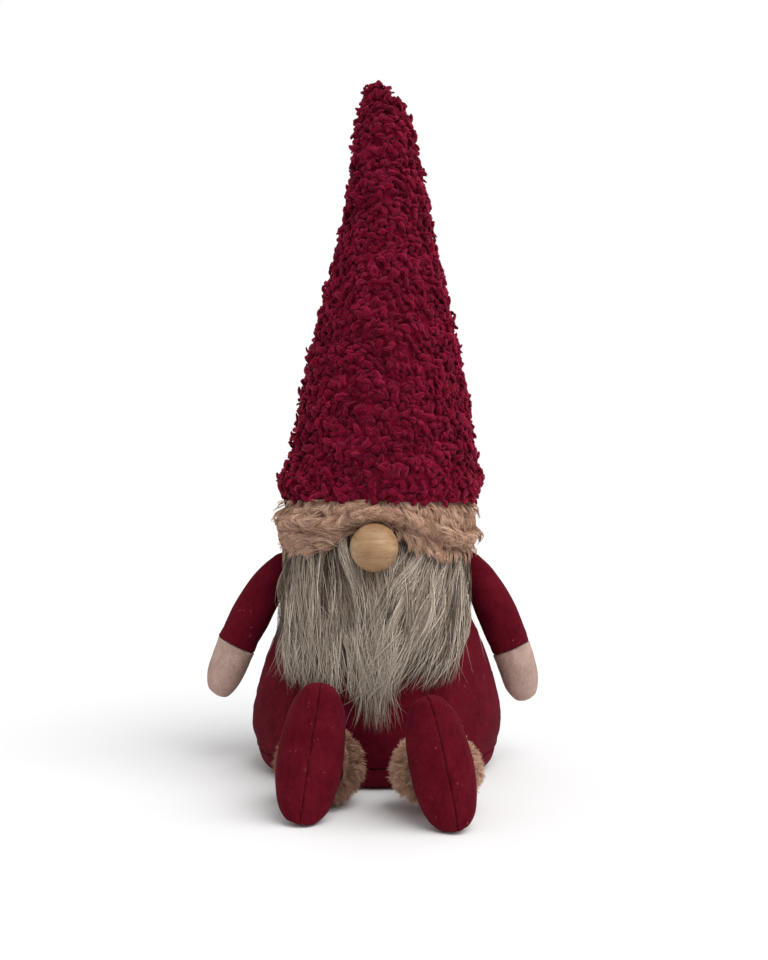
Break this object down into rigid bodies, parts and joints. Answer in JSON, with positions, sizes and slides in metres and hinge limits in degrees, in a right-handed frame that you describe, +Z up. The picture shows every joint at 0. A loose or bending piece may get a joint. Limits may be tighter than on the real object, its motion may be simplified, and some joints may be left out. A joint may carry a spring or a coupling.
{
  "type": "tomte gnome figurine",
  "caption": "Seated soft gnome with a tall curly fleece hat, fur brim, wooden ball nose, long fur beard, felt body, hanging arms with mittens and forward legs in tall boots.",
  "frame": {"origin": "centre of the body's flat underside, which stands on the floor", "axes": "+Z up along the body and hat; the gnome faces -Y, and +X is its left hand, the viewer's right"},
  "size_m": [0.189, 0.1965, 0.383],
  "materials": {
    "red_felt": "short-napped wool felt, wine red",
    "beige_felt": "short-napped felt, heathered beige",
    "hat_fleece": "curly teddy fleece, wine red",
    "trim_fur": "short dense fur, beige",
    "beard_fur": "long fur pile, grey-taupe with cream strands",
    "backing_cloth": "woven fur backing",
    "nose_wood": "pale turned wood, satin",
    "hot_glue": "hot-melt glue",
    "polyester_filling": "polyester fibre filling",
    "calico": "calico bag of grit",
    "red_thread": "sewing thread"
  },
  "bodies": {
    "torso": {"body_front_panel": "red_felt", "body_back_left_panel": "red_felt", "body_back_right_panel": "red_felt", "base_panel": "red_felt", "ballast_bag": "calico", "body_filling": "polyester_filling", "hat_shell": "hat_fleece", "hat_filling": "polyester_filling", "hat_trim_band": "trim_fur", "beard_backing": "backing_cloth", "beard_pile": "beard_fur", "nose_ball": "nose_wood", "nose_glue_pad": "hot_glue"},
    "left_shoulder": {"left_shoulder_stitches": "red_thread"},
    "left_arm": {"left_sleeve": "red_felt", "left_mitten": "beige_felt", "left_arm_filling": "polyester_filling"},
    "left_leg": {"left_leg_tube": "red_felt", "left_leg_filling": "polyester_filling", "left_ankle_cuff": "trim_fur", "left_boot_outer_half": "red_felt", "left_boot_inner_half": "red_felt", "left_boot_filling": "polyester_filling"},
    "right_shoulder": {"right_shoulder_stitches": "red_thread"},
    "right_arm": {"right_sleeve": "red_felt", "right_mitten": "beige_felt", "right_arm_filling": "polyester_filling"},
    "right_leg": {"right_leg_tube": "red_felt", "right_leg_filling": "polyester_filling", "right_ankle_cuff": "trim_fur", "right_boot_outer_half": "red_felt", "right_boot_inner_half": "red_felt", "right_boot_filling": "polyester_filling"}
  },
  "joints": [
    {"name": "left_arm_swing", "type": "hinge", "parent": "torso", "child": "left_shoulder", "pos_m": [-0.0537, 0.004, 0.1135], "axis": [-1, 0, 0], "range_deg": [-50, 80]},
    {"name": "left_arm_lift", "type": "hinge", "parent": "left_shoulder", "child": "left_arm", "pos_m": [-0.0537, 0.004, 0.1135], "axis": [0, 1, 0], "range_deg": [0, 70]},
    {"name": "left_leg_swing", "type": "hinge", "parent": "torso", "child": "left_leg", "pos_m": [-0.03, -0.0607, 0.012], "axis": [1, 0, 0], "range_deg": [-20, 0]},
    {"name": "right_arm_swing", "type": "hinge", "parent": "torso", "child": "right_shoulder", "pos_m": [0.0537, 0.004, 0.1135], "axis": [-1, 0, 0], "range_deg": [-50, 80]},
    {"name": "right_arm_lift", "type": "hinge", "parent": "right_shoulder", "child": "right_arm", "pos_m": [0.0537, 0.004, 0.1135], "axis": [0, -1, 0], "range_deg": [0, 70]},
    {"name": "right_leg_swing", "type": "hinge", "parent": "torso", "child": "right_leg", "pos_m": [0.03, -0.0607, 0.012], "axis": [1, 0, 0], "range_deg": [-20, 0]}
  ]
}
